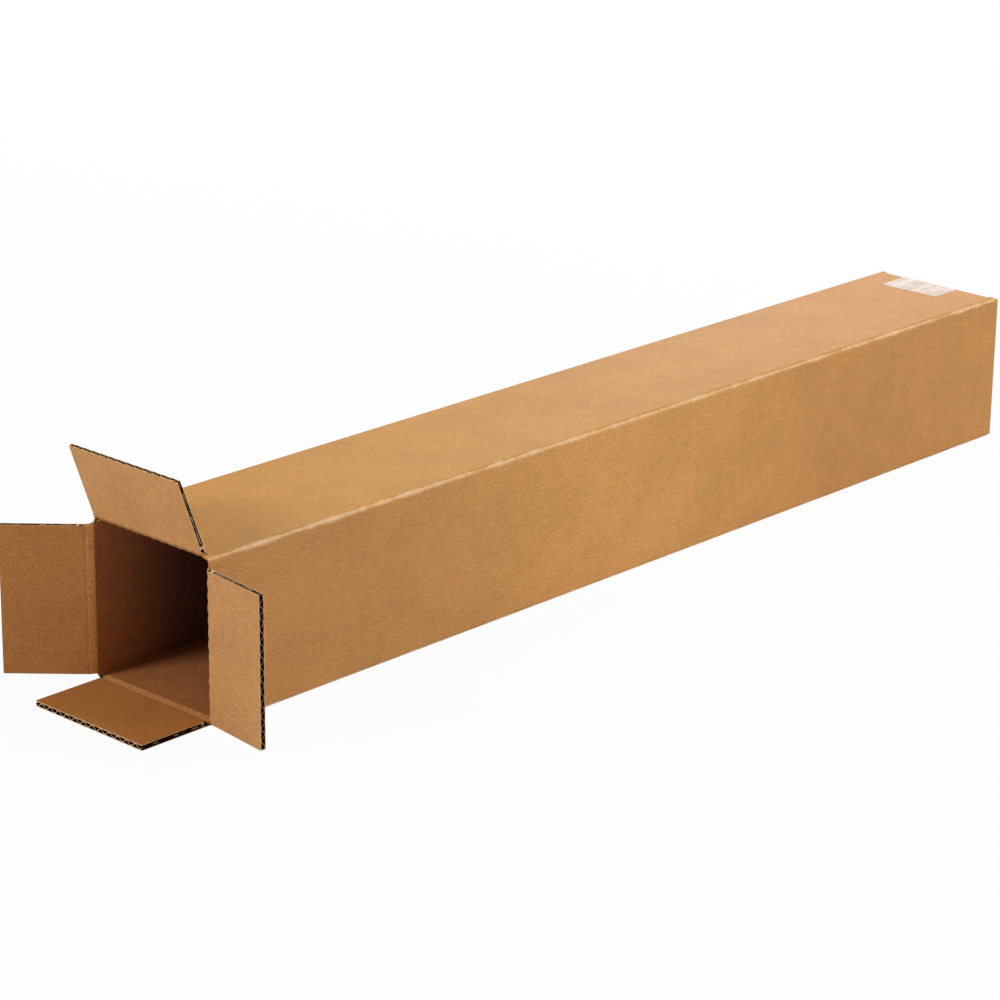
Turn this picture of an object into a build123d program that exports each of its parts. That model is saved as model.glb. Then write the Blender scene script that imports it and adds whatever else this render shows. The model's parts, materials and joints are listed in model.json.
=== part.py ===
from build123d import *
import math
import os

# Long corrugated mailing box, one end shut and taped, the other end open with four flaps.
# X runs along the box from the open mouth (-X) to the taped end (+X), Z is up.
# The origin is the middle of the bottom panel's underside. All sizes are in millimetres.

# The board: two flat liners with a fluted medium between them
BOARD = 3.7
LINER = 0.45
MEDIUM = 0.35
FLUTE_PITCH = 7.8
FLUTE_PHASES = (0.06, 0.18, 0.30)
FLUTE_FOOT = 0.43

# The folded tube
INSIDE = 102.0
LENGTH = 800.0
FOLD_RADIUS = 4.0
FOLD_INNER_RADIUS = 1.0

# The flaps: slots on the corner folds part them, and a pair of flaps meets in the middle
SLOT_WIDTH = 8.2
SLOT_END_RADIUS = 2.5
FLAP_MEETING_GAP = 0.6
SHUT_PLY_GAP = 0.3
SHUT_CORNER_GAP = 1.0

# The flap creases at the mouth. The axis of a crease lies just above the outer liner.
HINGE_LIFT = 0.2
CREASE_CLEARANCE = 0.22
CREASE_CRUSH = 7.0
REST_OPEN_DEG = {"top_flap": 70.0, "bottom_flap": 0.0, "left_flap": 47.0, "right_flap": 83.0}

# The glued lap that closes the tube, inside the right-hand wall
LAP_HEIGHT = 32.0
LAP_THICKNESS = 3.2
LAP_END_TAPER = 10.0
LAP_END_MARGIN = 14.0

# The clear tape down the seam of the shut end, laid a little left of the seam
TAPE_WIDTH = 50.0
TAPE_SHIFT = 5.0
TAPE_THICKNESS = 0.15
TAPE_TAB = 31.0

OUTSIDE = INSIDE + 2 * BOARD
HALF = OUTSIDE / 2
MOUTH = -LENGTH / 2
END = LENGTH / 2
FLAP_INSET = BOARD / 2 + SLOT_WIDTH / 2
FLAP_WIDTH = OUTSIDE - 2 * FLAP_INSET
FLAP_LENGTH = HALF + HINGE_LIFT - FLAP_MEETING_GAP / 2
# The top and bottom flaps shut first, so their creases lie one ply further in than the side flaps'
INNER_CREASE_SETBACK = BOARD + 0.4
SIDE_CREASE_X = MOUTH
INNER_CREASE_X = MOUTH + INNER_CREASE_SETBACK
# At the shut end the side flaps are the outer ply, and the top and bottom flaps lie behind them
INNER_PLY_FACE = END - BOARD - SHUT_PLY_GAP
INNER_PLY_BACK = INNER_PLY_FACE - BOARD
PAST = 1.0


def side_slab(outline, low, high):
    """A solid with an outline in the XY plane, from one height to another."""
    return extrude(Plane.XY.offset(low) * outline, high - low)


def cross_slab(outline, half_width):
    """A solid with an outline in the XZ plane, as far to the left as to the right."""
    return extrude(Plane.XZ * outline, half_width, both=True)


def filled(points):
    """A flat face with straight edges through the points."""
    return make_face(Polyline(*points, close=True))


def tube():
    """The four walls, with one bend at each corner and room for the folds of the shut end."""
    outer = RectangleRounded(OUTSIDE, OUTSIDE, FOLD_RADIUS)
    inner = RectangleRounded(INSIDE, INSIDE, FOLD_INNER_RADIUS)
    section = Pos(0, HALF) * (outer - inner)
    length = INNER_PLY_FACE - SHUT_CORNER_GAP - MOUTH
    room = Pos(END - BOARD, OUTSIDE) * Rectangle(2 * (END - BOARD - INNER_PLY_BACK), 2 * BOARD)
    upper_room = cross_slab(room, HALF - FLAP_INSET)
    walls = extrude(Plane.YZ.offset(MOUTH) * section, length)
    return walls - [upper_room, mirror(upper_room, Plane.XY.offset(HALF))]


def crease_cut(crease_x):
    """What the creased end of a wall leaves free, in X and depth from the outer face."""
    start = crease_x + HINGE_LIFT + CREASE_CLEARANCE
    return [
        (MOUTH - PAST, PAST),
        (start - PAST, PAST),
        (start + BOARD + PAST, -BOARD - PAST),
        (MOUTH - PAST, -BOARD - PAST),
    ]


def creased_mouth(walls):
    """Bevel the mouth ends of the four walls, where the flaps fold."""
    side = [(x, HALF + out) for x, out in crease_cut(SIDE_CREASE_X)]
    side_cut = side_slab(filled(side), FLAP_INSET, OUTSIDE - FLAP_INSET)
    top = [(x, OUTSIDE + out) for x, out in crease_cut(INNER_CREASE_X)]
    top_cut = cross_slab(filled(top), HALF - FLAP_INSET)
    middle = Plane.XY.offset(HALF)
    cuts = [side_cut, mirror(side_cut, Plane.XZ), top_cut, mirror(top_cut, middle)]
    return walls - cuts


def corner_slots():
    """The slots at the mouth, from the open end to the inner creases, with rounded corners."""
    end = INNER_CREASE_X + HINGE_LIFT + CREASE_CLEARANCE
    length = end - MOUTH + PAST + SLOT_END_RADIUS
    slot = RectangleRounded(length, 2 * FLAP_INSET, SLOT_END_RADIUS)
    upper = cross_slab(Pos(end - length / 2, OUTSIDE) * slot, HALF + PAST)
    return [upper, mirror(upper, Plane.XY.offset(HALF))]


def shut_side_flap():
    """A side wall's last stretch, its fold and its outer flap across the shut end."""
    start = INNER_PLY_BACK - PAST
    fold = HALF - FOLD_RADIUS
    wall = [
        Line((start, HALF), (END - FOLD_RADIUS, HALF)),
        RadiusArc((END - FOLD_RADIUS, HALF), (END, fold), FOLD_RADIUS),
        Polyline(
            (END, fold),
            (END - BOARD, fold),
            (END - BOARD, HALF - BOARD),
            (start, HALF - BOARD),
            (start, HALF),
        ),
    ]
    flap = filled(
        [
            (END, fold + PAST / 2),
            (END, FLAP_MEETING_GAP / 2),
            (END - BOARD, FLAP_MEETING_GAP / 2),
            (END - BOARD, fold + PAST / 2),
        ]
    )
    # The slots stop at the fold, so the wall keeps its height up to there
    stretch = side_slab(make_face(wall), FOLD_RADIUS / 2, OUTSIDE - FOLD_RADIUS / 2)
    return stretch + side_slab(flap, FLAP_INSET, OUTSIDE - FLAP_INSET)


def shut_top_flap():
    """The top wall's fold and its inner flap, behind the outer flaps of the shut end."""
    start = INNER_PLY_BACK - PAST
    fold = INNER_PLY_FACE - FOLD_RADIUS
    seam = HALF + FLAP_MEETING_GAP / 2
    outline = [
        Line((start, OUTSIDE), (fold, OUTSIDE)),
        RadiusArc((fold, OUTSIDE), (INNER_PLY_FACE, OUTSIDE - FOLD_RADIUS), FOLD_RADIUS),
        Line((INNER_PLY_FACE, OUTSIDE - FOLD_RADIUS), (INNER_PLY_FACE, seam)),
        Polyline(
            (INNER_PLY_FACE, seam),
            (INNER_PLY_BACK, seam),
            (INNER_PLY_BACK, OUTSIDE - BOARD),
            (start, OUTSIDE - BOARD),
            (start, OUTSIDE),
        ),
    ]
    return cross_slab(make_face(outline), HALF - FLAP_INSET)


def glued_lap():
    """The lap folded up from the bottom panel and glued inside the right-hand wall."""
    near = MOUTH + LAP_END_MARGIN
    far = END - LAP_END_MARGIN
    outline = filled(
        [
            (near, BOARD - PAST / 2),
            (near + LAP_END_TAPER, BOARD + LAP_HEIGHT),
            (far - LAP_END_TAPER, BOARD + LAP_HEIGHT),
            (far, BOARD - PAST / 2),
        ]
    )
    lap = extrude(Plane.XZ * outline, LAP_THICKNESS + PAST / 2)
    return Pos(0, -HALF + BOARD + LAP_THICKNESS, 0) * lap


def tape():
    """The strip of clear tape, from a tab on the top, down the seam and under the box."""
    # Past the top fold the tape leaves the inner flap and crosses to the outer one at 45 degrees
    lean = math.tan(math.radians(22.5))
    tab = INNER_PLY_FACE - TAPE_TAB
    leave = INNER_PLY_FACE - FOLD_RADIUS + FOLD_RADIUS * lean
    land = OUTSIDE - (END - leave)
    skin = TAPE_THICKNESS
    middle = HALF + skin / 2
    upper_half = filled(
        [
            (tab, OUTSIDE),
            (tab, OUTSIDE + skin),
            (leave + skin * lean, OUTSIDE + skin),
            (END + skin, land + skin * lean),
            (END + skin, middle),
            (END, middle),
            (END, land),
            (leave, OUTSIDE),
        ]
    )
    # The lower half mirrors the upper one a tape's thickness higher, so the box stays flat below
    upper = Pos(0, TAPE_SHIFT, 0) * cross_slab(upper_half, TAPE_WIDTH / 2)
    return upper + mirror(upper, Plane.XY.offset(middle))


def box_body():
    """The folded and glued blank with its shut end, without the four free flaps."""
    walls = creased_mouth(tube())
    half = [shut_side_flap(), shut_top_flap()]
    middle = Plane.XY.offset(HALF)
    others = [mirror(half[0], Plane.XZ), mirror(half[1], middle), glued_lap()]
    blank = walls + half + others
    return blank - corner_slots() - tape()


def flute_points():
    """Half a flute's hollow: from its crown down one flank to its foot on the liner."""
    mid = BOARD / 2
    swing = (BOARD - 2 * LINER - MEDIUM) / 2
    points = []
    for phase in FLUTE_PHASES:
        turn = 2 * math.pi * phase
        slope = -swing * 2 * math.pi / FLUTE_PITCH * math.sin(turn)
        lean = math.hypot(1, slope)
        across = FLUTE_PITCH * phase + MEDIUM / 2 * slope / lean
        height = mid + swing * math.cos(turn) - MEDIUM / 2 / lean
        points.append((across, height))
    points.append((FLUTE_PITCH * FLUTE_FOOT, LINER))
    return points


def flute_hollows(length):
    """The hollows between the liners and the medium, all across a flap, run along X."""
    right = flute_points()
    left = [(-across, height) for across, height in reversed(right)]
    over_liner = left + right
    under_liner = [(across, BOARD - height) for across, height in over_liner]
    count = math.ceil(FLAP_WIDTH / FLUTE_PITCH / 2) + 1
    hollows = []
    for number in range(-count, count + 1):
        for offset, outline in ((0.0, over_liner), (0.5, under_liner)):
            shift = (number + offset) * FLUTE_PITCH
            near = shift - FLUTE_PITCH / 2 * 0.9
            beyond = shift + FLUTE_PITCH / 2 * 0.9
            if beyond > -FLAP_WIDTH / 2 and near < FLAP_WIDTH / 2:
                moved = [(across + shift, height) for across, height in outline]
                hollows.append(extrude(Plane.YZ * filled(moved), length))
    return hollows


def flat_flap():
    """A flap in line with its wall: its crease axis is the Y axis, its free edge is at -X."""
    root = HINGE_LIFT + CREASE_CLEARANCE
    outer = -HINGE_LIFT
    inner = outer - BOARD
    outline = filled(
        [
            (-root, outer),
            (-FLAP_LENGTH, outer),
            (-FLAP_LENGTH, inner),
            (-root - BOARD, inner),
        ]
    )
    board = cross_slab(outline, FLAP_WIDTH / 2)
    hollows = flute_hollows(FLAP_LENGTH - CREASE_CRUSH + PAST)
    return board - [Pos(-FLAP_LENGTH - PAST, 0, inner) * hollow for hollow in hollows]


def placed_flap(flap, name):
    """Open a flap by its rest angle and set it on the wall that it belongs to."""
    quarter_turns = {"top_flap": 0, "right_flap": 1, "bottom_flap": 2, "left_flap": 3}
    side_wall = name in ("left_flap", "right_flap")
    crease_x = SIDE_CREASE_X if side_wall else INNER_CREASE_X
    opened = Rot(0, REST_OPEN_DEG[name], 0) * flap
    on_top = Pos(crease_x, 0, HALF + HINGE_LIFT) * opened
    return Pos(0, 0, HALF) * Rot(90 * quarter_turns[name], 0, 0) * on_top


os.makedirs("parts", exist_ok=True)
export_step(box_body(), "parts/box_body.step")
export_step(tape(), "parts/sealing_tape.step")
one_flap = flat_flap()
for flap_name in REST_OPEN_DEG:
    export_step(placed_flap(one_flap, flap_name), f"parts/{flap_name}.step")
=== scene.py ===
# %% [markdown]
# # A long cardboard box, taped shut at one end and standing open at the other
#
# This lesson dresses the imported model of a long square box of corrugated board. The construction
# arrives as a fixed frame of six nodes: the folded box, its four free flaps and a strip of tape.
# Nothing here moves or resizes them. What Blender adds is the look: kraft paper with its fibres,
# the fluted edges, the bent liner at each crease, a flap pressed thin by use, the worn folds with a
# painted highlight, painted shade inside the box and on the shaded flaps, clear tape, light and a
# camera.

# %% Load the imported model
import json
import math
import random

import bmesh
import bpy
from mathutils import Matrix, Vector


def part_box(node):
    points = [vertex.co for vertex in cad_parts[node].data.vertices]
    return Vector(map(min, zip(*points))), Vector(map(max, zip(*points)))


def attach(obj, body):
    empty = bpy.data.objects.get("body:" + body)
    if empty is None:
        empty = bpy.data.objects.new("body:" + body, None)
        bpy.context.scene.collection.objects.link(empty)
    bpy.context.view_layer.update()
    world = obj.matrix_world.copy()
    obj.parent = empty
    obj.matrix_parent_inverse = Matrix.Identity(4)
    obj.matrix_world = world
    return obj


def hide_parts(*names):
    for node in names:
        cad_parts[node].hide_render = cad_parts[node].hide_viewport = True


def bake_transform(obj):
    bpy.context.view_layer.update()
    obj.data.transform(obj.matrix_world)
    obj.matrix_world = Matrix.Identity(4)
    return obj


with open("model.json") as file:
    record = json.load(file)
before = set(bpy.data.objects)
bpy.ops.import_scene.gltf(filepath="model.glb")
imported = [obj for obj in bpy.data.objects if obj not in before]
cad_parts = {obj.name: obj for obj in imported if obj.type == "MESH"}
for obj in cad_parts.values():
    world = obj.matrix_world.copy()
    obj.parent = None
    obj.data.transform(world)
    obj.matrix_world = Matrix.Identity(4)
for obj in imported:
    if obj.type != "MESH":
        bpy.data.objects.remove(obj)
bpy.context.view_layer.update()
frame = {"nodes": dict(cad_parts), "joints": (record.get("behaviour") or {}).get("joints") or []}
print("nodes:", sorted(frame["nodes"]))

# %% [markdown]
# ## The sizes that every step below shares
#
# The real box is folded from one sheet of board, so most sizes can be read from the frame: the
# bottom flap lies flat, and its height is the board's thickness. Each joint gives a crease: where
# its axis lies, and which way the flap turns. Its lower limit is the shut flap, which stands square
# to its wall. The sizes could be typed in, but working them out from the frame keeps the looks on
# the construction if the construction changes.

# %% Read the sizes from the frame
MM = 0.001
LINER = 0.45 * MM
FLUTE_PITCH = 7.8 * MM
FOLD_RADIUS = 4.0 * MM
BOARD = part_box("bottom_flap")[1].z
box_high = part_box("box_body")[1]
HALF = box_high.y
TOP = box_high.z
END = box_high.x
MIDDLE = Vector((0, 0, TOP / 2))
ALONG = Vector((1, 0, 0))
SHUT_DEG = 90


class Crease:
    """One flap's crease, with the directions that belong to the flap at rest."""

    def __init__(self, joint):
        self.flap = joint["child"]
        self.axis_point = Vector(joint["pos_m"])
        away = self.axis_point - MIDDLE
        self.outward = Vector((0, round(away.y / HALF), round(away.z / TOP * 2))).normalized()
        self.opened = math.radians(-joint["range_deg"][0] - SHUT_DEG)
        self.reach = self.outward * math.sin(self.opened) - ALONG * math.cos(self.opened)
        self.face = self.outward * math.cos(self.opened) + ALONG * math.sin(self.opened)
        self.across = self.outward.cross(ALONG)
        self.lift = (self.axis_point - MIDDLE).dot(self.outward) - HALF


creases = {joint["child"]: Crease(joint) for joint in frame["joints"]}
for crease in creases.values():
    print(crease.flap, "stands open by", round(math.degrees(crease.opened)), "degrees")
print("the board is", round(BOARD / MM, 2), "mm thick")

# %% [markdown]
# ## The camera
#
# The box was photographed from a little above its open end, with a long lens. The camera is set
# by an aim on the box's centre plane, two angles and a distance, because these are what a
# photographer would change. A small roll brings the long folds to the slope they have in the photo.

# %% Place the camera
LENS_MM = 122.14
SENSOR_MM = 36.0
CAMERA_TURN = 0.8212
CAMERA_RISE = 0.3369
CAMERA_ROLL = 0.0118
CAMERA_DISTANCE = 2.2645
CAMERA_AIM = Vector((-0.0904, 0, 0.0557))

camera_data = bpy.data.cameras.new("camera")
camera_data.lens = LENS_MM
camera_data.sensor_width = SENSOR_MM
camera = bpy.data.objects.new("camera", camera_data)
bpy.context.scene.collection.objects.link(camera)
bpy.context.scene.camera = camera

flat = math.cos(CAMERA_RISE)
toward_camera = Vector(
    (-math.sin(CAMERA_TURN) * flat, -math.cos(CAMERA_TURN) * flat, math.sin(CAMERA_RISE))
)
right = (-toward_camera).cross(Vector((0, 0, 1))).normalized()
up = toward_camera.cross(right)
level = Matrix((right, up, toward_camera)).transposed()
camera.matrix_world = (
    Matrix.Translation(CAMERA_AIM + toward_camera * CAMERA_DISTANCE)
    @ level.to_4x4()
    @ Matrix.Rotation(CAMERA_ROLL, 4, "Z")
)
print("camera at", [round(v, 3) for v in camera.matrix_world.translation])

# %% [markdown]
# ## Building materials with code
#
# Kraft paper is noise on noise: clouds, fibres and specks. A shader tree for it has many nodes, and
# wiring them one by one hides the idea. A small class that adds a node and joins it in one call
# keeps each finish readable as a recipe.

# %% A helper that builds shader trees
class Finish:
    """A material whose nodes are added and joined in one call each."""

    def __init__(self, name):
        self.material = bpy.data.materials.new(name)
        self.material.use_nodes = True
        self.tree = self.material.node_tree
        self.skin = self.tree.nodes["Principled BSDF"]
        self.output = self.tree.nodes["Material Output"]

    def feed(self, socket, value):
        if isinstance(value, bpy.types.NodeSocket):
            self.tree.links.new(value, socket)
        elif value is not None:
            socket.default_value = value

    def add(self, kind, inputs=(), **settings):
        node = self.tree.nodes.new("ShaderNode" + kind)
        for name, value in settings.items():
            setattr(node, name, value)
        for name, value in dict(inputs).items():
            self.feed(node.inputs[name], value)
        return node

    def math(self, operation, first, second=0.0, third=0.0):
        node = self.add("Math", {0: first, 1: second, 2: third}, operation=operation)
        return node.outputs[0]

    def ramp(self, value, start, end, low=0.0, high=1.0):
        """Turns a value smoothly from low to high while it goes from start to end."""
        limits = {"From Min": start, "From Max": end, "To Min": low, "To Max": high}
        node = self.add("MapRange", {"Value": value, **limits}, interpolation_type="SMOOTHSTEP")
        return node.outputs["Result"]

    def noise(self, vector, scale, detail=2.0, roughness=0.5):
        inputs = {"Vector": vector, "Scale": scale, "Detail": detail, "Roughness": roughness}
        return self.add("TexNoise", inputs).outputs["Fac"]

    def stretched(self, vector, factors):
        node = self.add("VectorMath", {0: vector, 1: factors}, operation="MULTIPLY")
        return node.outputs[0]

    def scaled(self, colour, factor):
        node = self.add("VectorMath", {0: colour, "Scale": factor}, operation="SCALE")
        return node.outputs[0]

    def dot(self, vector, direction):
        node = self.add("VectorMath", {0: vector, 1: direction}, operation="DOT_PRODUCT")
        return node.outputs["Value"]

    def join(self, x, y, z):
        return self.add("CombineXYZ", {0: x, 1: y, 2: z}).outputs[0]

    def mix(self, share, first, second, blend="MIX"):
        node = self.add("Mix", data_type="RGBA", blend_type=blend)
        self.feed(node.inputs[0], share)
        self.feed(node.inputs[6], first)
        self.feed(node.inputs[7], second)
        return node.outputs[2]

    def choose(self, share, first, second):
        """The first value where the share is 0 and the second where it is 1."""
        node = self.add("Mix", data_type="FLOAT")
        for index, value in {0: share, 2: first, 3: second}.items():
            self.feed(node.inputs[index], value)
        return node.outputs[0]

    def height(self, value, distance, strength=1.0, normal=None):
        inputs = {"Strength": strength, "Distance": distance, "Height": value, "Normal": normal}
        return self.add("Bump", inputs).outputs["Normal"]


print("the helper is ready")

# %% [markdown]
# ## Where on the board a point lies
#
# The flutes run the length of the box and out along each flap. So the box and its flaps need the
# same three coordinates: along the flutes, across them, and through the board. On the box "across"
# is Y on the top and bottom, and Z on the sides. On a flap the three are measured from its crease,
# so the pattern turns with the flap. The depth below the box's skin follows its rounded folds.

# %% Board coordinates for the box and for a flap
def depth_in_box(finish, place):
    """How far a point lies below the box's outer skin, which is rounded at its folds."""
    depth_y = finish.math("SUBTRACT", HALF, finish.math("ABSOLUTE", place[1]))
    from_middle = finish.math("ABSOLUTE", finish.math("SUBTRACT", place[2], TOP / 2))
    depth_z = finish.math("SUBTRACT", TOP / 2, from_middle)
    depth_x = finish.math("SUBTRACT", END, place[0])
    short = []
    for depth in (depth_x, depth_y, depth_z):
        missing = finish.math("SUBTRACT", FOLD_RADIUS, depth)
        short.append(finish.math("MAXIMUM", missing, 0.0))
    reach = finish.add("VectorMath", {0: finish.join(*short)}, operation="LENGTH")
    skin_depth = finish.math("SUBTRACT", FOLD_RADIUS, reach.outputs["Value"])
    side = finish.math("LESS_THAN", depth_y, depth_z)
    side = finish.math("MULTIPLY", side, finish.math("GREATER_THAN", depth_x, FOLD_RADIUS))
    return skin_depth, finish.math("MAXIMUM", depth_y, depth_z), side


def place_on_box(finish):
    """Along, across and through, for whichever of the four walls a point is on."""
    point = finish.add("TexCoord").outputs["Object"]
    place = finish.add("SeparateXYZ", {0: point}).outputs
    skin_depth, to_fold, side = depth_in_box(finish, place)
    across = finish.choose(side, place[1], place[2])
    through = finish.choose(side, place[2], place[1])
    where = finish.join(place[0], across, through)
    return place, where, across, skin_depth, to_fold, side


def place_on_flap(finish, crease):
    """Distance from the crease, distance from the flap's middle line, and depth from its outside."""
    point = finish.add("TexCoord").outputs["Object"]
    offset = finish.add("VectorMath", {0: point, 1: crease.axis_point}, operation="SUBTRACT")
    offset = offset.outputs[0]
    out = finish.dot(offset, crease.reach)
    across = finish.dot(offset, crease.across)
    depth = finish.math("MULTIPLY", finish.dot(offset, crease.face), -1.0)
    return out, across, depth, finish.join(out, across, depth)


print("board coordinates for", ", ".join(creases))

# %% [markdown]
# ## The colours of the paper
#
# Kraft liner is unbleached pulp, so it is tan, and no two sheets are quite alike. Each colour here
# is written as it shows on a screen, from 0 to 255, and turned into the linear values that shaders
# work in. The paper is a little more golden in the middle of the side walls, whose darker ends near
# the mouth are painted shade, and more ochre on the top near the mouth. The box's inside, the left
# and bottom flaps and the right flap's cut medium get darker copies of their colours as painted
# shade, and the pale of the worn folds is partly a painted highlight. Cut edges are pale, because
# torn fibres scatter more light, and the hollows behind them are painted nearly black as shade.

# %% Write down the colours
def linear(red, green, blue):
    """A screen colour, as numbers from 0 to 255, in the linear values that shaders use."""
    def one(value):
        value /= 255
        return value / 12.92 if value <= 0.04045 else ((value + 0.055) / 1.055) ** 2.4
    return (one(red), one(green), one(blue), 1.0)


KRAFT = linear(201, 143, 80)
# Lighter and more golden for the middle of the side walls, which leaves their ends near the mouth in
# painted shade.
KRAFT_GOLD_LIT = linear(218, 159, 90)
KRAFT_OCHRE = linear(198, 142, 68)
# Pale for the worn folds, which also paints their highlight.
PALE_WEAR_AND_HIGHLIGHT = linear(246, 210, 166)
KRAFT_INSIDE = linear(190, 137, 82)
# Darker copies of the inner liner for the left and bottom flaps: painted shade.
SHADED_LEFT_FLAP_KRAFT = linear(175, 115, 57)
SHADED_BOTTOM_FLAP_KRAFT = linear(194, 128, 64)
# The box's inside, painted darker than the flaps' liner and darkest deep inside: painted shade.
SHADED_INSIDE_KRAFT = linear(181, 115, 66)
DEEPEST_INSIDE_SHADE = linear(101, 66, 60)
KRAFT_OLIVE = (0.92, 1.0, 0.96, 1.0)
CUT_EDGE = linear(226, 188, 142)
# Cut medium painted darker, as shade.
CUT_EDGE_SHADED = linear(170, 132, 96)
# Near black for the hollows of the flutes and the gaps at the side edges: painted shade.
FLUTE_SHADE = linear(58, 33, 17)
SPECK = linear(84, 50, 26)
print("kraft in linear light:", [round(v, 3) for v in KRAFT[:3]])

# %% [markdown]
# ## Kraft paper
#
# Seen closely, kraft liner has faint cloudy patches, short fibres that lie more one way than the
# other, and a few dark specks of bark. A painted picture could show them, but noise needs no
# picture and never repeats. Three noises at three sizes shade the base colour, each by its own
# share. The fibres also lift the surface a little, and under them the flutes show as very faint
# ribs, the washboard that raking light finds on any corrugated box.

# %% The kraft recipe
CLOUD_SCALE, CLOUD_SHARE = 24.0, 0.045
BLOTCH_SCALE, BLOTCH_SHARE = 170.0, 0.04
GRAIN_SCALE, GRAIN_SHARE = 1500.0, 0.37
OLIVE_SCALE, OLIVE_SHARE = 60.0, 0.12
SPECK_SCALE, SPECK_PATCHES, SPECK_SHARE = 260.0, 75.0, 0.5
FIBRE_STRETCH = 0.6
RIB_LIFT = 0.012 * MM
BLOTCH_LIFT = 0.03 * MM
GRAIN_LIFT = 0.04 * MM


def shade(finish, noise, share):
    """A change of tone, down or up by the share, as the noise crosses its middle range."""
    return finish.ramp(noise, 0.3, 0.7, -share, share)


def specks(finish, where):
    """1 on the few dots of bark, which come in patches, and 0 elsewhere."""
    dots = finish.add("TexVoronoi", {"Vector": where, "Scale": SPECK_SCALE}).outputs["Distance"]
    patches = finish.ramp(finish.noise(where, SPECK_PATCHES, 1.0), 0.6, 0.64)
    return finish.math("MULTIPLY", finish.ramp(dots, 0.05, 0.12, 1.0, 0.0), patches)


def kraft(finish, where, across, base):
    """Colours and lifts the surface as kraft liner. Returns the colour and the normal."""
    clouds = finish.noise(where, CLOUD_SCALE, 3.0, 0.55)
    blotches = finish.noise(where, BLOTCH_SCALE, 3.0, 0.6)
    fibres = finish.stretched(where, (1.0, FIBRE_STRETCH, 1.0))
    grain = finish.noise(fibres, GRAIN_SCALE, 4.0, 0.7)
    tone = finish.math("ADD", shade(finish, clouds, CLOUD_SHARE),
                       shade(finish, blotches, BLOTCH_SHARE))
    tone = finish.math("ADD", tone, shade(finish, grain, GRAIN_SHARE))
    hue = finish.noise(finish.stretched(where, (1.0, 1.0, 3.0)), OLIVE_SCALE, 2.0)
    olive = finish.ramp(hue, 0.45, 0.7, 0.0, OLIVE_SHARE)
    colour = finish.mix(olive, base, KRAFT_OLIVE, "MULTIPLY")
    colour = finish.scaled(colour, finish.math("ADD", tone, 1.0))
    colour = finish.mix(finish.math("MULTIPLY", specks(finish, where), SPECK_SHARE), colour, SPECK)
    ribs = finish.math("SINE", finish.math("MULTIPLY", across, math.tau / FLUTE_PITCH))
    relief = finish.height(ribs, RIB_LIFT)
    relief = finish.height(blotches, BLOTCH_LIFT, 1.0, relief)
    relief = finish.height(grain, GRAIN_LIFT, 1.0, relief)
    return colour, relief


print("the paper's tone varies by", CLOUD_SHARE + BLOTCH_SHARE + GRAIN_SHARE, "at most")

# %% [markdown]
# ## The dull gloss of uncoated paper
#
# Uncoated paper has next to no shine, but not none: light that grazes it still leaves a soft sheen.
# A low specular level and a high roughness give that. Raw fluted medium has no sheen at all, and
# with one it would turn its dark hollows grey, so the gloss can be masked where a finish needs it.

# %% Put paper on a shader
PAPER_GLOSS = 0.32
PAPER_ROUGHNESS = 0.65


def paper_surface(finish, colour, relief, gloss=PAPER_GLOSS):
    """Puts the colour, the relief and the gloss on the shader."""
    finish.feed(finish.skin.inputs["Base Color"], colour)
    finish.feed(finish.skin.inputs["Normal"], relief)
    finish.feed(finish.skin.inputs["Specular IOR Level"], gloss)
    finish.skin.inputs["Roughness"].default_value = PAPER_ROUGHNESS
    return finish.material


print("paper has a specular level of", PAPER_GLOSS, "and a roughness of", PAPER_ROUGHNESS)

# %% [markdown]
# ## The box's colours, outside and in
#
# The box is one sheet, and yet its colour drifts from place to place. A few materials on a few
# faces could show that, but a seam would show where they meet. One material that blends its
# colours by place has no seam. The side walls are lighter in their middle, so that near the mouth
# they carry painted shade, as from the right flap. Inside, shade is painted in: the walls darken
# with depth sooner than the floor, which catches the light that comes in over the bottom flap.

# %% Choose the box's colour by place
GOLD_MIDDLE = -0.02
GOLD_REACH = 0.26
OCHRE_FROM_TO = (-0.1, 0.3)
# Where the inside's painted shade begins and ends, on the floor and on the walls.
PAINTED_SHADE_START = {"floor": -0.42, "walls": -0.4}
PAINTED_SHADE_END = {"floor": -0.12, "walls": -0.312}


def outer_colour(finish, place, side):
    """Golden in the middle of the side walls, darker toward the mouth as painted shade, ochre on the
    top near the mouth.
    """
    along = finish.math("ABSOLUTE", finish.math("SUBTRACT", place[0], GOLD_MIDDLE))
    # 1 in the lit middle of a side wall, 0 at its ends, where the plainer colour is partly painted
    # shade.
    golden = finish.ramp(along, 0.0, GOLD_REACH, 1.0, 0.0)
    on_sides = finish.mix(golden, KRAFT, KRAFT_GOLD_LIT)
    on_top = finish.mix(finish.ramp(place[0], *OCHRE_FROM_TO), KRAFT_OCHRE, KRAFT)
    return finish.mix(side, on_top, on_sides)


def inner_colour_with_shade(finish, place, side):
    """Painted shade inside the box: brown at the mouth and darkest deep inside."""
    start = finish.choose(side, PAINTED_SHADE_START["floor"], PAINTED_SHADE_START["walls"])
    end = finish.choose(side, PAINTED_SHADE_END["floor"], PAINTED_SHADE_END["walls"])
    return finish.mix(finish.ramp(place[0], start, end), SHADED_INSIDE_KRAFT, DEEPEST_INSIDE_SHADE)


print("the side walls are most golden at", GOLD_MIDDLE, "m")

# %% [markdown]
# ## The worn folds and their painted highlight
#
# The long folds are where a box rubs, so the paper there is scuffed to a paler line that wanders
# and breaks, and the same pale line paints the highlight that a rounded fold catches. Geometry would
# be far too heavy for it. A mask does it: 1 near the fold, fading with distance, with a width that
# noise shakes along the fold. The right side, which faces the key lamp, has much more of it than the
# left, as in the photo, and all of it a little more near the mouth.

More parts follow.
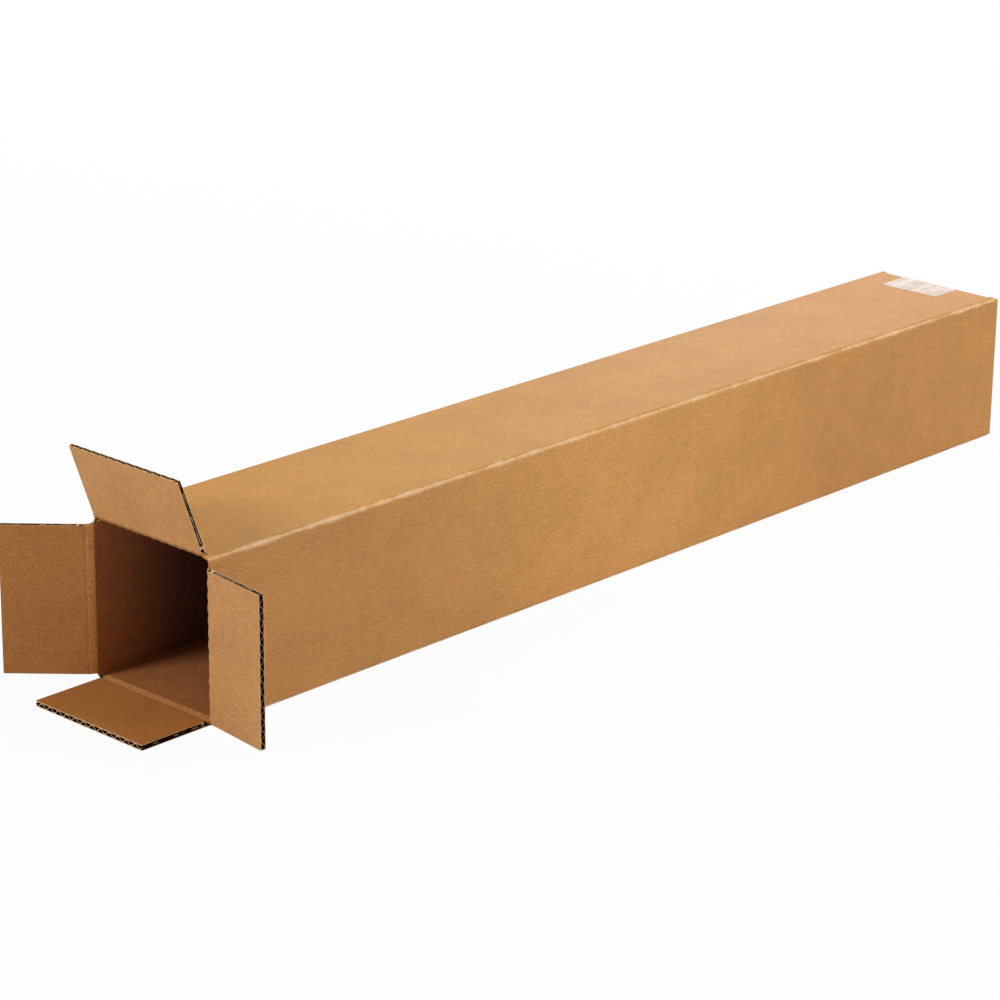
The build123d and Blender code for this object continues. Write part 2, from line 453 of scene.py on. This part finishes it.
# %% Find the worn line and its painted highlight
WEAR_AND_HIGHLIGHT_FROM_TO = (-0.35, 0.05)
WEAR_AND_HIGHLIGHT_SLIM = 0.85
WEAR_AND_HIGHLIGHT_WIDTH = (2.2 * MM, 4.2 * MM)
WANDER_SCALE = 32.0
BREAK_SCALE = 130.0
LEAST_WEAR_AND_HIGHLIGHT = 0.2


def wear_and_highlight_line(finish, place, where, to_fold):
    """The share of scuffing and painted highlight, from 0 to 1, by distance from the nearest long
    fold.
    """
    along = finish.stretched(where, (1.0, 0.0, 0.0))
    wander = finish.noise(along, WANDER_SCALE, 4.0, 0.6)
    width = finish.ramp(wander, 0.35, 0.65, *WEAR_AND_HIGHLIGHT_WIDTH)
    slimmer = finish.ramp(place[0], *WEAR_AND_HIGHLIGHT_FROM_TO, 1.0, WEAR_AND_HIGHLIGHT_SLIM)
    width = finish.math("MULTIPLY", width, slimmer)
    near_fold = finish.ramp(finish.math("DIVIDE", to_fold, width), 0.2, 1.0, 1.0, 0.0)
    broken = finish.ramp(finish.noise(where, BREAK_SCALE, 4.0, 0.65), 0.35, 0.62, 0.55, 1.0)
    rubbed_and_lit = finish.ramp(place[1], -0.01, 0.01, 1.0, LEAST_WEAR_AND_HIGHLIGHT)
    return finish.math("MULTIPLY", finish.math("MULTIPLY", near_fold, broken), rubbed_and_lit)


print("the worn line is up to", round(WEAR_AND_HIGHLIGHT_WIDTH[1] / MM, 1), "mm wide on each side of a fold")

# %% [markdown]
# ## The box's finish
#
# Depth below the skin tells the liners from the layer between them. On the skin lies the outside's
# colour with its worn folds and their painted highlight, and on the far side of the board the
# inside's, with its painted shade. Where the slots cut through a wall, the fluted medium shows
# between the liners, as a wave of paper with the shade of its hollows painted dark on both sides.

# %% Dress the box
BLUR = 0.05 * MM
MEDIUM_EDGE = (0.3 * MM, 0.5 * MM)
INSIDE_EDGE = (0.3 * MM, 0.1 * MM)


def flute_section(finish, across, depth):
    """1 on the medium of a cut board and 0 in its hollows."""
    swing = BOARD / 2 - LINER
    turn = finish.math("MULTIPLY", across, math.tau / FLUTE_PITCH)
    middle = finish.math("MULTIPLY_ADD", finish.math("COSINE", turn), swing, BOARD / 2)
    away = finish.math("ABSOLUTE", finish.math("SUBTRACT", depth, middle))
    return finish.ramp(away, *MEDIUM_EDGE, 1.0, 0.0)


def between_liners(finish, depth):
    """1 between the two liners and 0 in them."""
    below = finish.ramp(depth, LINER - BLUR, LINER + BLUR)
    above = finish.ramp(depth, BOARD - LINER - BLUR, BOARD - LINER + BLUR, 1.0, 0.0)
    return finish.math("MULTIPLY", below, above)


def box_finish(name, thickness, cut_open):
    """The box's skin and its inside, which begins at a given thickness, with or without flutes."""
    finish = Finish(name)
    place, where, across, depth, to_fold, side = place_on_box(finish)
    inside = finish.ramp(depth, *[thickness - edge for edge in INSIDE_EDGE])
    base = finish.mix(inside, outer_colour(finish, place, side), inner_colour_with_shade(finish, place, side))
    colour, relief = kraft(finish, where, across, base)
    wear_and_highlight = wear_and_highlight_line(finish, place, where, to_fold)
    wear_and_highlight = finish.math("MULTIPLY", wear_and_highlight, finish.math("SUBTRACT", 1.0, inside))
    # Pale wear on the folds, partly a painted highlight.
    colour = finish.mix(wear_and_highlight, colour, PALE_WEAR_AND_HIGHLIGHT)
    if not cut_open:
        return paper_surface(finish, colour, relief)
    core = between_liners(finish, depth)
    section = finish.mix(flute_section(finish, across, depth), FLUTE_SHADE, CUT_EDGE)
    colour = finish.mix(core, colour, section)
    gloss = finish.math("MULTIPLY", finish.math("SUBTRACT", 1.0, core), PAPER_GLOSS)
    return paper_surface(finish, colour, relief, gloss)


body_slot = frame["nodes"]["box_body"].material_slots[0]
body_slot.material = box_finish("kraft_box", BOARD, True)
print("box_body wears", body_slot.material.name)

# %% [markdown]
# ## A flap that is pressed thin
#
# Use has pressed the free end of the top flap, so its cut edge is thinner than those of the other
# three. The share of the thickness that is left falls evenly from the crease to the end. Both the
# shape and the finish need this share: the finish has to find the liners in a squeezed board.

# %% How far a flap is pressed
PRESSED = {"top_flap": 0.64}


def pressed_to(crease, out):
    """The share of the board's thickness that is left at a distance from the crease."""
    thinner = 1 - PRESSED.get(crease.flap, 1.0)
    return 1 - thinner * out / HALF


def depth_in_flap(finish, crease, out, depth):
    """Depth below the flap's outer skin, as it was before the flap was pressed."""
    through = finish.math("SUBTRACT", depth, crease.lift)
    if crease.flap not in PRESSED:
        return through
    slope = (pressed_to(crease, HALF) - 1) / HALF
    left = finish.math("MULTIPLY_ADD", out, slope, 1.0)
    from_inside = finish.math("DIVIDE", finish.math("SUBTRACT", BOARD, through), left)
    return finish.math("SUBTRACT", BOARD, from_inside)


for name, share in PRESSED.items():
    print(name, "keeps", share, "of its thickness at its end")

# %% [markdown]
# ## The flaps' side edges
#
# Along a side edge the knife runs with the flutes. So that edge shows no wave, but long gaps, their
# shade painted dark, where it has opened a flute, between pale runs where it has torn the liner over
# it. One noise along the edge opens and shuts the gap, and a slower one lets it drift between the
# two liners.

# %% Colour a side edge
HALF_GAP = {"top_flap": 0.5, "right_flap": 0.45, "left_flap": 0.9, "bottom_flap": 1.2}
GAP_SHUT = -0.15 * MM
GAP_DRIFT = 0.5 * MM
GAP_BLUR = 0.1 * MM
RUN_SCALE = 130.0
DRIFT_SCALE = 90.0


def side_edge(finish, crease, where, through):
    """The painted shade of the gaps and the pale runs along the edge that the knife cut beside the
    flutes.
    """
    along = finish.stretched(where, (1.0, 0.0, 0.0))
    runs = finish.noise(along, RUN_SCALE, 3.0, 0.6)
    half_gap = finish.ramp(runs, 0.4, 0.6, HALF_GAP[crease.flap] * MM, GAP_SHUT)
    drift = finish.noise(along, DRIFT_SCALE, 1.0)
    sway = finish.ramp(drift, 0.3, 0.7, -GAP_DRIFT, GAP_DRIFT)
    aside = finish.math("SUBTRACT", finish.math("SUBTRACT", through, BOARD / 2), sway)
    aside = finish.math("SUBTRACT", finish.math("ABSOLUTE", aside), half_gap)
    return finish.mix(finish.ramp(aside, -GAP_BLUR, GAP_BLUR), FLUTE_SHADE, CUT_EDGE)


print("the widest gaps are", round(2 * max(HALF_GAP.values()), 1), "mm wide")

# %% [markdown]
# ## The flaps' finish: two liners and the fluted layer between
#
# A flap shows both of its faces and, at its free end, the real flutes of the construction. Depth
# tells its two liners from the layer between them, and the direction that a face looks in tells a
# cut face from a hollow's wall, whose shade is painted nearly black. The left and bottom flaps'
# inner faces are painted darker and browner as shade, and the medium at the right flap's cut end is
# painted darker as shade.

# %% Dress the flaps
# The left and bottom flaps' inner faces get painted shade.
INNER_TONE_AND_SHADE = {"top_flap": KRAFT_INSIDE, "right_flap": KRAFT_INSIDE,
              "left_flap": SHADED_LEFT_FLAP_KRAFT, "bottom_flap": SHADED_BOTTOM_FLAP_KRAFT}
# The right flap's cut medium is painted darker, as shade.
MEDIUM_TONE_AND_SHADE = {"top_flap": CUT_EDGE, "right_flap": CUT_EDGE_SHADED,
               "left_flap": CUT_EDGE, "bottom_flap": CUT_EDGE}
INNER_FROM_TO = (BOARD / 2, BOARD / 2 + 0.5 * MM)
CORE_FROM_TO = (LINER - 0.15 * MM, LINER - 0.05 * MM)
SQUARELY = 0.85


def flap_finish(crease):
    finish = Finish("kraft_" + crease.flap)
    out, across, depth, where = place_on_flap(finish, crease)
    through = depth_in_flap(finish, crease, out, depth)
    from_middle = finish.math("ABSOLUTE", finish.math("SUBTRACT", through, BOARD / 2))
    within = finish.math("SUBTRACT", BOARD / 2, from_middle)
    inner = finish.ramp(through, *INNER_FROM_TO)
    base = finish.mix(inner, KRAFT, INNER_TONE_AND_SHADE[crease.flap])
    colour, relief = kraft(finish, where, across, base)
    core = finish.ramp(within, *CORE_FROM_TO)
    colour = finish.mix(core, colour, FLUTE_SHADE)
    looks = finish.add("TexCoord").outputs["Normal"]
    endways = finish.math("ABSOLUTE", finish.dot(looks, crease.reach))
    endways = finish.math("GREATER_THAN", endways, SQUARELY)
    colour = finish.mix(endways, colour, finish.mix(core, CUT_EDGE, MEDIUM_TONE_AND_SHADE[crease.flap]))
    sideways = finish.math("ABSOLUTE", finish.dot(looks, crease.across))
    sideways = finish.math("GREATER_THAN", sideways, SQUARELY)
    colour = finish.mix(sideways, colour, side_edge(finish, crease, where, through))
    dull = finish.math("MAXIMUM", core, sideways)
    gloss = finish.math("MULTIPLY", finish.math("SUBTRACT", 1.0, dull), PAPER_GLOSS)
    return paper_surface(finish, colour, relief, gloss)


for name, crease in creases.items():
    frame["nodes"][name].material_slots[0].material = flap_finish(crease)
    print(name, "wears", frame["nodes"][name].material_slots[0].material.name)

# %% [markdown]
# ## The top flap's pressed end
#
# The construction's flap has the full board all the way, so a copy of it shows the worn state and
# stands for it. The copy's outer face slopes toward its inner one. Every point moves by its
# distance from the crease, so the flutes are squeezed as a whole. Modelling the flap again would
# give the same shape with much more work.

# %% Press the end of the top flap
def pressed_copy(crease):
    node = frame["nodes"][crease.flap]
    piece = bpy.data.objects.new("pressed_" + crease.flap, node.data.copy())
    bpy.context.scene.collection.objects.link(piece)
    for corner in piece.data.vertices:
        offset = corner.co - crease.axis_point
        through = -offset.dot(crease.face) - crease.lift
        left = pressed_to(crease, offset.dot(crease.reach))
        corner.co -= crease.face * (BOARD - through) * (1 - left)
    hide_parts(crease.flap)
    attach(piece, crease.flap)
    return piece


for name in PRESSED:
    pressed_copy(creases[name])
    print(name, "is pressed at its end to", round(BOARD * PRESSED[name] / MM, 2), "mm")

# %% [markdown]
# ## A line with rounded corners
#
# At a crease the board is crushed, and both of its liners run on from the wall into the flap. The
# construction leaves a gap there so that a flap can turn, and two strips of liner close it. Paper
# never bends to a sharp corner, so each strip follows a line whose corners are rounded. A bevel
# could round a finished strip, but rounding the line first keeps the strip's faces regular.

# %% Round the corners of a line
BEND_RADIUS = 1.1 * MM
BEND_STEPS = 5


def rounded(points):
    """The points of an open line with its corners rounded."""
    line = [points[0]]
    for before, corner, after in zip(points, points[1:], points[2:]):
        reach_in = min(BEND_RADIUS, (corner - before).length / 2)
        reach_out = min(BEND_RADIUS, (after - corner).length / 2)
        start = corner + (before - corner).normalized() * reach_in
        end = corner + (after - corner).normalized() * reach_out
        for step in range(BEND_STEPS + 1):
            t = step / BEND_STEPS
            line.append(start * (1 - t) ** 2 + corner * 2 * t * (1 - t) + end * t * t)
    return line + [points[-1]]


print("a corner is rounded to", round(BEND_RADIUS / MM, 1), "mm with", BEND_STEPS, "steps")

# %% [markdown]
# ## The lines of the two strips
#
# The inner strip follows the wall's inner face, turns into a flat facet, and turns again into the
# flap's inner face. How far from the crease it turns says how hard the board is crushed there, and
# that differs from flap to flap. It waves a little at each flute, because the flutes crush one by
# one. The outer strip passes through the crease's own axis. Both lines are measured from the
# crease, so they follow the construction, and they start and end just under the paper's skin, which
# hides their edges.

# %% Draw the inner and the outer line
STRIP_PROUD = 0.06 * MM
STRIP_OVERLAP = 1.2 * MM
CREASE_LAND = BOARD + 0.45 * MM
COVER_LAND = 1.5 * MM
CORNER_AT = {"top_flap": 2.6, "bottom_flap": 2.7, "left_flap": 1.0, "right_flap": 3.5}
DIP = {"top_flap": 0.2, "bottom_flap": 0.7, "left_flap": 0.15, "right_flap": 0.2}
SCALLOP = {"top_flap": 0.8, "bottom_flap": 0.06, "left_flap": 0.12, "right_flap": 0.8}


def on_wall(crease, along, height):
    """A point beside the wall: how far from the crease, and how high over its axis."""
    return crease.axis_point + ALONG * along + crease.outward * height


def on_flap(crease, along, height):
    """The same for a point beside the flap at rest."""
    return crease.axis_point + crease.reach * along + crease.face * height


def inner_line(crease, wave):
    """The inner strip's line at rest, from the wall's inner face to the flap's."""
    depth = crease.lift + BOARD
    corner = CORNER_AT[crease.flap] * MM
    swell = wave * SCALLOP[crease.flap] * MM
    dip = DIP[crease.flap] * MM
    return rounded([
        on_wall(crease, CREASE_LAND + STRIP_OVERLAP, STRIP_PROUD - depth),
        on_wall(crease, CREASE_LAND, -STRIP_PROUD - depth),
        on_wall(crease, corner, -STRIP_PROUD - swell - depth),
        on_flap(crease, corner, dip - swell - depth),
        on_flap(crease, CREASE_LAND, -STRIP_PROUD - depth),
        on_flap(crease, CREASE_LAND + STRIP_OVERLAP, STRIP_PROUD - depth),
    ])


def outer_line(crease, wave):
    """The outer strip's line at rest. It has no waves, but one sweep serves both lines."""
    return rounded([
        on_wall(crease, COVER_LAND + STRIP_OVERLAP, -STRIP_PROUD - crease.lift),
        on_wall(crease, COVER_LAND, STRIP_PROUD - crease.lift),
        crease.axis_point,
        on_flap(crease, COVER_LAND, STRIP_PROUD - crease.lift),
        on_flap(crease, COVER_LAND + STRIP_OVERLAP, -STRIP_PROUD - crease.lift),
    ])


print("an inner line has", len(inner_line(creases["top_flap"], 0)), "points")

# %% [markdown]
# ## A closed sheet
#
# Even a thin sheet of paper has two sides and an edge. A single layer of faces would do for a
# picture, but it has no inside, so it can't be printed or weighed. Rows of point pairs, one point on
# each side of the sheet, give a closed shell. The same helper serves the strips and, further down,
# the corners of the mouth.

# %% A helper that closes a sheet
SHARP_ANGLE = math.radians(40)


def sheet_faces(row_count, count):
    """The faces of both sides, the two long edges and the two ends."""
    def spot(row, index, layer):
        return (row * count + index) * 2 + layer

    faces = []
    for row in range(row_count - 1):
        for index in range(count - 1):
            for layer in (0, 1):
                faces.append((spot(row, index, layer), spot(row, index + 1, layer),
                              spot(row + 1, index + 1, layer), spot(row + 1, index, layer)))
        for index in (0, count - 1):
            faces.append((spot(row, index, 0), spot(row + 1, index, 0),
                          spot(row + 1, index, 1), spot(row, index, 1)))
    for row in (0, row_count - 1):
        for index in range(count - 1):
            faces.append((spot(row, index, 0), spot(row, index, 1),
                          spot(row, index + 1, 1), spot(row, index + 1, 0)))
    return faces


def closed_strip(name, rows):
    """A thin closed sheet from rows of point pairs, one on each side of the sheet."""
    points = [point for row in rows for pair in row for point in pair]
    mesh = bpy.data.meshes.new(name)
    mesh.from_pydata(points, [], sheet_faces(len(rows), len(rows[0])))
    shape = bmesh.new()
    shape.from_mesh(mesh)
    bmesh.ops.recalc_face_normals(shape, faces=shape.faces)
    shape.to_mesh(mesh)
    shape.free()
    mesh.shade_smooth()
    mesh.set_sharp_from_angle(angle=SHARP_ANGLE)
    piece = bpy.data.objects.new(name, mesh)
    bpy.context.scene.collection.objects.link(piece)
    return piece


print("two rows of three pairs make", len(sheet_faces(2, 3)), "faces")

# %% [markdown]
# ## The sweep along a crease
#
# A crease runs the whole width of its flap and its flutes give way one after another, each by a
# different amount. A bevelled curve would sweep the same line everywhere. Here the line is drawn
# anew at every step, with the wave of the flute that it crosses, so no two flutes are alike. The
# chance behind them is seeded with the strip's name, so that it is the same at each run.

# %% Sweep a line along a crease
ACROSS_STEPS = 150
SWELL_LEAST = 0.45


def flap_span(crease):
    """The flap's two ends along its crease."""
    corners = frame["nodes"][crease.flap].data.vertices
    places = [(corner.co - crease.axis_point).dot(crease.across) for corner in corners]
    return min(places), max(places)


def thickened(line, crease, into_board, thick):
    """Each point of the line, paired with the one that lies a thickness into the board."""
    row = []
    for index, point in enumerate(line):
        ahead = line[min(index + 1, len(line) - 1)] - line[max(index - 1, 0)]
        thicker = ahead.cross(crease.across).normalized() * thick
        if thicker.dot(into_board) < 0:
            thicker = -thicker
        row.append((point, point + thicker))
    return row


def crease_strip(crease, name, line_at, into_board, thick):
    """Sweeps a line along the crease and thickens it toward the board's middle."""
    first, last = flap_span(crease)
    chance = random.Random(name)
    flutes = int((last - first) / FLUTE_PITCH) + 2
    swells = [chance.uniform(SWELL_LEAST, 1.0) for _ in range(flutes)]
    rows = []
    for step in range(ACROSS_STEPS + 1):
        place = first + (last - first) * step / ACROSS_STEPS
        flute = (place - first) / FLUTE_PITCH
        wave = abs(math.sin(math.pi * flute)) * swells[int(flute)]
        line = [point + crease.across * place for point in line_at(crease, wave)]
        rows.append(thickened(line, crease, into_board, thick))
    return closed_strip(name, rows)


span = flap_span(creases["top_flap"])
print("the top crease is", round((span[1] - span[0]) / MM, 1), "mm long")

# %% [markdown]
# ## The bent liners at each crease
#
# Each crease gets its two strips. The inner strip shows three papers side by side, the box's
# inside, a facet with painted light on it, and the flap's own inner face.

# %% Make and dress the strips
INNER_THICK = 1.8 * MM
OUTER_THICK = 0.25 * MM
FACET_MARGIN = 0.2 * MM
# The facets of the left and bottom creases are painted much paler than their flaps, as the light
# they catch.
FACET_TONE_AND_LIGHT = {"top_flap": linear(193, 139, 83), "right_flap": linear(194, 140, 84),
              "left_flap": linear(214, 150, 84), "bottom_flap": linear(207, 145, 83)}


def crease_finish(crease, label, base):
    finish = Finish(crease.flap + label)
    _, across, _, where = place_on_flap(finish, crease)
    return paper_surface(finish, *kraft(finish, where, across, base))


def wear_by_place(strip, crease):
    """The strip's flap side wears material 0, its facet 1 and its wall side 2."""
    tone = INNER_TONE_AND_SHADE[crease.flap]
    strip.data.materials.append(crease_finish(crease, "_inner_crease", tone))
    strip.data.materials.append(crease_finish(crease, "_facet", FACET_TONE_AND_LIGHT[crease.flap]))
    strip.data.materials.append(body_slot.material)
    facet_end = CORNER_AT[crease.flap] * MM + FACET_MARGIN
    for face in strip.data.polygons:
        away = face.center - crease.axis_point
        if away.dot(ALONG) > facet_end:
            face.material_index = 2
        elif away.dot(crease.reach) < facet_end:
            face.material_index = 1


for name, crease in creases.items():
    away = crease.outward + crease.face
    inner = crease_strip(crease, name + "_inner_crease", inner_line, away, INNER_THICK)
    outer = crease_strip(crease, name + "_outer_crease", outer_line, -away, OUTER_THICK)
    wear_by_place(inner, crease)
    outer.data.materials.append(crease_finish(crease, "_outer_crease", KRAFT))
    for strip, land in ((inner, CREASE_LAND), (outer, COVER_LAND)):
        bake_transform(strip)
        print(strip.name, "has", len(strip.data.polygons), "faces")

# %% [markdown]
# ## The section of a folded corner
#
# The slots that part the flaps end in a small arc right on the folds, and the board is crushed thin
# there. To follow the fold, a point of the corner is given by how far round it lies and how deep
# below the skin. A flat piece bent with a modifier could do it, but this formula lands on the
# construction's own fold without trial and error.

# %% Follow the fold
SLOT_EDGE = 48.85 * MM
CORNER_SIDE = HALF - SLOT_EDGE


def corner_section(turn, depth):
    """A point of the folded section: a share of the way round, and a depth below the skin."""
    straight = CORNER_SIDE - FOLD_RADIUS
    arc = math.pi / 2 * FOLD_RADIUS
    run = turn * (arc + 2 * straight)
    radius = FOLD_RADIUS - depth
    if run < straight:
        return Vector((0, HALF - CORNER_SIDE + run, HALF - depth))
    if run > straight + arc:
        return Vector((0, HALF - depth, HALF - FOLD_RADIUS - (run - straight - arc)))
    angle = math.pi / 2 - (run - straight) / FOLD_RADIUS
    centre = HALF - FOLD_RADIUS
    return Vector((0, centre + radius * math.cos(angle), centre + radius * math.sin(angle)))


print("a corner piece reaches", round(CORNER_SIDE / MM, 1), "mm to each side of its fold")

# %% [markdown]
# ## The crushed corners of the mouth
#
# Two of the corners come forward of the construction, which stops square and short of them. So each
# of the two gets a small piece of folded board, which starts just under the wall's skin, follows
# the fold, ends in the arc and thins toward the mouth. Its cut rim lies in shade, which is painted
# in: where the slot opens downward the rim is as dark as the hollows of the board, and at the top it
# has the inside's painted shade. The skin is the box's own finish without the flutes, so it goes on
# from the wall with no seam. Under the box the piece stops at the bottom flap's crease, out of the
# way of the flap when it shuts.

# %% Add the two corners
MOUTH = creases["left_flap"].axis_point.x
CREASE_END = creases["bottom_flap"].axis_point.x
CORNER_START = CREASE_END + 1.4 * MM
CORNER_PROUD = 0.04 * MM
CORNER_STEPS = 28
CORNER_SHARES = (0.0, 0.25, 0.5, 0.75, 0.9, 1.0)
CORNER_SKIN = 0.8 * MM
RIM_FACING = -0.6
CORNERS = {
    "top_right_corner": dict(
        toward_y=-1, toward_z=1, short=0.2, thick=0.9, rim=SHADED_INSIDE_KRAFT),
    "bottom_left_corner": dict(
        toward_y=1, toward_z=-1, short=4.6, thick=1.5, rim=FLUTE_SHADE),
}


def corner_front(turn, toward_z, short):
    """How far the piece comes forward, which follows the slot's arc."""
    off_fold = abs(turn - 0.5) * 2
    arc = (1 - math.sqrt(1 - off_fold ** 2)) * CORNER_SIDE
    foremost = CREASE_END if turn < 0.5 and toward_z < 0 else MOUTH
    return max(foremost, MOUTH + short * MM - arc)


def corner_row(turn, front, toward_y, toward_z, thick):
    """The pairs of points from the wall to the mouth, at one share of the way round."""
    row = []
    for share in CORNER_SHARES:
        along = CORNER_START + (front - CORNER_START) * share
        under = BOARD - 2 * CORNER_PROUD - (BOARD - thick * MM) * share ** 2
        pair = []
        for depth in (under, -CORNER_PROUD):
            point = corner_section(turn, depth)
            pair.append((along, point.y * toward_y, TOP / 2 + point.z * toward_z))
        row.append(pair)
    return row


def mouth_corner(name, toward_y, toward_z, short, thick, rim):
    rows = []
    for step in range(CORNER_STEPS + 1):
        turn = step / CORNER_STEPS
        front = corner_front(turn, toward_z, short)
        rows.append(corner_row(turn, front, toward_y, toward_z, thick))
    corner = closed_strip(name, rows)
    corner.data.materials.append(crushed)
    # The rim's colour is painted shade.
    corner.data.materials.append(paper_surface(Finish(name + "_rim"), rim, None, 0.0))
    for face in corner.data.polygons:
        face.material_index = int(face.normal.x < RIM_FACING)
    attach(corner, "box")
    print(name, "comes to", round((MOUTH + short * MM) / MM, 1), "mm")


crushed = box_finish("kraft_corner", CORNER_SKIN, False)
for name, numbers in CORNERS.items():
    mouth_corner(name, **numbers)

# %% [markdown]
# ## Clear tape
#
# Carton tape is a clear film with a satin face. On kraft it reads as a pale, slightly milky band,
# because most of what reaches the eye is light from its surface, and it is streaked where the glue
# has wetted the paper unevenly. Real refraction through a film this thin costs much and shows
# nothing. Part transparency over the board, two pale colours mixed by a stretched noise and a
# smooth skin with faint ripples give the look without it. The two colours are partly the film's
# milky tone and partly a painted sheen of its surface.

# %% Dress the tape
# Two pale colours of the film, partly its milky tone and partly painted sheen.
WETTED_TAPE_AND_SHEEN = linear(207, 174, 150)
MILKY_TAPE_AND_SHEEN = linear(231, 205, 187)
TAPE_COVER = 0.62
TAPE_GLOSS = 0.35
TAPE_ROUGHNESS = 0.3
RIPPLE_SCALE, RIPPLE_LIFT, RIPPLE_STRENGTH = 120.0, 0.2 * MM, 0.5
STREAK_SCALE = 70.0


def tape_finish():
    finish = Finish("clear_tape")
    point = finish.add("TexCoord").outputs["Object"]
    ripples = finish.noise(finish.stretched(point, (1.0, 0.25, 1.0)), RIPPLE_SCALE, 2.0)
    streaks = finish.noise(finish.stretched(point, (0.7, 1.6, 1.0)), STREAK_SCALE, 3.0, 0.6)
    colour = finish.mix(finish.ramp(streaks, 0.4, 0.62), WETTED_TAPE_AND_SHEEN, MILKY_TAPE_AND_SHEEN)
    finish.feed(finish.skin.inputs["Base Color"], colour)
    finish.skin.inputs["Roughness"].default_value = TAPE_ROUGHNESS
    finish.skin.inputs["Alpha"].default_value = TAPE_COVER
    finish.skin.inputs["Specular IOR Level"].default_value = TAPE_GLOSS
    relief = finish.height(ripples, RIPPLE_LIFT, RIPPLE_STRENGTH)
    finish.feed(finish.skin.inputs["Normal"], relief)
    return finish.material


tape_slot = frame["nodes"]["sealing_tape"].material_slots[0]
tape_slot.material = tape_finish()
print("the tape is", tape_slot.material.name)

# %% [markdown]
# ## The floor
#
# The box lies on a plain white floor that runs into a white background, as in a shop's picture. A
# brightly lit floor could do that, but it would throw its light back on the box. So the floor is
# really pale, keeps a trace of the box's shadow, and is lifted to white by a share of emission that
# only the camera, reflections and see-through surfaces find. The box gets no light from that share.

# %% Lay the floor
FLOOR_RADIUS = 30.0
FLOOR_SIDES = 64
FLOOR_DROP = 0.2 * MM
FLOOR_FADE = (0.5, 1.6)
FLOOR_LIFTED = 0.94
FLOOR_PAINT = (0.84, 0.84, 0.84, 1.0)


def camera_sees(finish):
    rays = finish.add("LightPath").outputs
    seen = finish.math("MAXIMUM", rays["Is Camera Ray"], rays["Is Glossy Ray"])
    return finish.math("MAXIMUM", seen, rays["Is Transmission Ray"])


def floor_finish():
    finish = Finish("white_floor")
    finish.skin.inputs["Base Color"].default_value = FLOOR_PAINT
    finish.skin.inputs["Roughness"].default_value = 1.0
    finish.skin.inputs["Specular IOR Level"].default_value = 0.0
    point = finish.add("TexCoord").outputs["Object"]
    distance = finish.add("VectorMath", {0: point}, operation="LENGTH").outputs["Value"]
    share = finish.ramp(distance, *FLOOR_FADE, FLOOR_LIFTED, 1.0)
    white = finish.add("Emission", {"Color": (1, 1, 1, 1), "Strength": 1.0}).outputs[0]
    blend = finish.add("MixShader", {0: finish.math("MULTIPLY", share, camera_sees(finish))})
    finish.feed(blend.inputs[1], finish.skin.outputs[0])
    finish.feed(blend.inputs[2], white)
    finish.feed(finish.output.inputs["Surface"], blend.outputs[0])
    return finish.material


turns = [math.tau * side / FLOOR_SIDES for side in range(FLOOR_SIDES)]
rim = [(FLOOR_RADIUS * math.cos(turn), FLOOR_RADIUS * math.sin(turn), -FLOOR_DROP)
       for turn in turns]
floor_mesh = bpy.data.meshes.new("floor")
floor_mesh.from_pydata(rim, [], [tuple(range(FLOOR_SIDES))])
floor_mesh.materials.append(floor_finish())
floor = bpy.data.objects.new("floor", floor_mesh)
bpy.context.scene.collection.objects.link(floor)
print("the floor is", 2 * FLOOR_RADIUS, "m wide")

# %% [markdown]
# ## The white background
#
# Around the box there is nothing but soft, slightly warm light. One strength can't be both right
# for the box and white in the picture, so the world has two: full strength where the camera looks
# at it, and a weak one for the light that it gives.

# %% Set up the world
SKY_LIGHT = 0.2
SKY_TINT = (1, 0.97, 0.93, 1)

world = bpy.data.worlds.new("studio")
bpy.context.scene.world = world
world.use_nodes = True
sky = world.node_tree.nodes["Background"]
sky.inputs["Color"].default_value = SKY_TINT
rays = world.node_tree.nodes.new("ShaderNodeLightPath")
strength = world.node_tree.nodes.new("ShaderNodeMapRange")
strength.inputs["To Min"].default_value = SKY_LIGHT
strength.inputs["To Max"].default_value = 1.0
world.node_tree.links.new(rays.outputs["Is Camera Ray"], strength.inputs["Value"])
world.node_tree.links.new(strength.outputs["Result"], sky.inputs["Strength"])
print("the world lights the box with a strength of", SKY_LIGHT)

# %% [markdown]
# ## The lamps
#
# The photo's light is broad and soft, brightest on the top and the right side. A small lamp would
# draw hard shadows inside the mouth, so all three are square soft boxes. The key lamp stands above,
# at the right. A lamp before the mouth lights the flaps and the first stretch of the inside. A weak
# one behind the taped end keeps the far side from sinking.

# %% Set up the lamps
def soft_lamp(name, place, aim, width, power):
    """A square soft box of a given width and power, that faces a point."""
    data = bpy.data.lights.new(name, "AREA")
    data.size = width
    data.energy = power
    lamp = bpy.data.objects.new(name, data)
    bpy.context.scene.collection.objects.link(lamp)
    lamp.location = place
    lamp.rotation_euler = (Vector(aim) - Vector(place)).to_track_quat("-Z", "Y").to_euler()
    print(name, "shines at", power, "W")


soft_lamp("key_lamp", (1.0, -1.1, 2.2), (0.05, 0.0, 0.05), width=1.2, power=49.0)
soft_lamp("front_lamp", (-2.2, 0.6, 1.14), (-0.4, 0.0, 0.08), width=0.7, power=27.0)
soft_lamp("back_lamp", (1.35, 1.05, 0.62), (0.3, 0.0, 0.1), width=0.9, power=10.0)

# %% [markdown]
# ## Finish
#
# The view transform is Standard, so a colour on the object renders as it is written.

# %% Set the view transform
bpy.context.scene.view_settings.view_transform = "Standard"
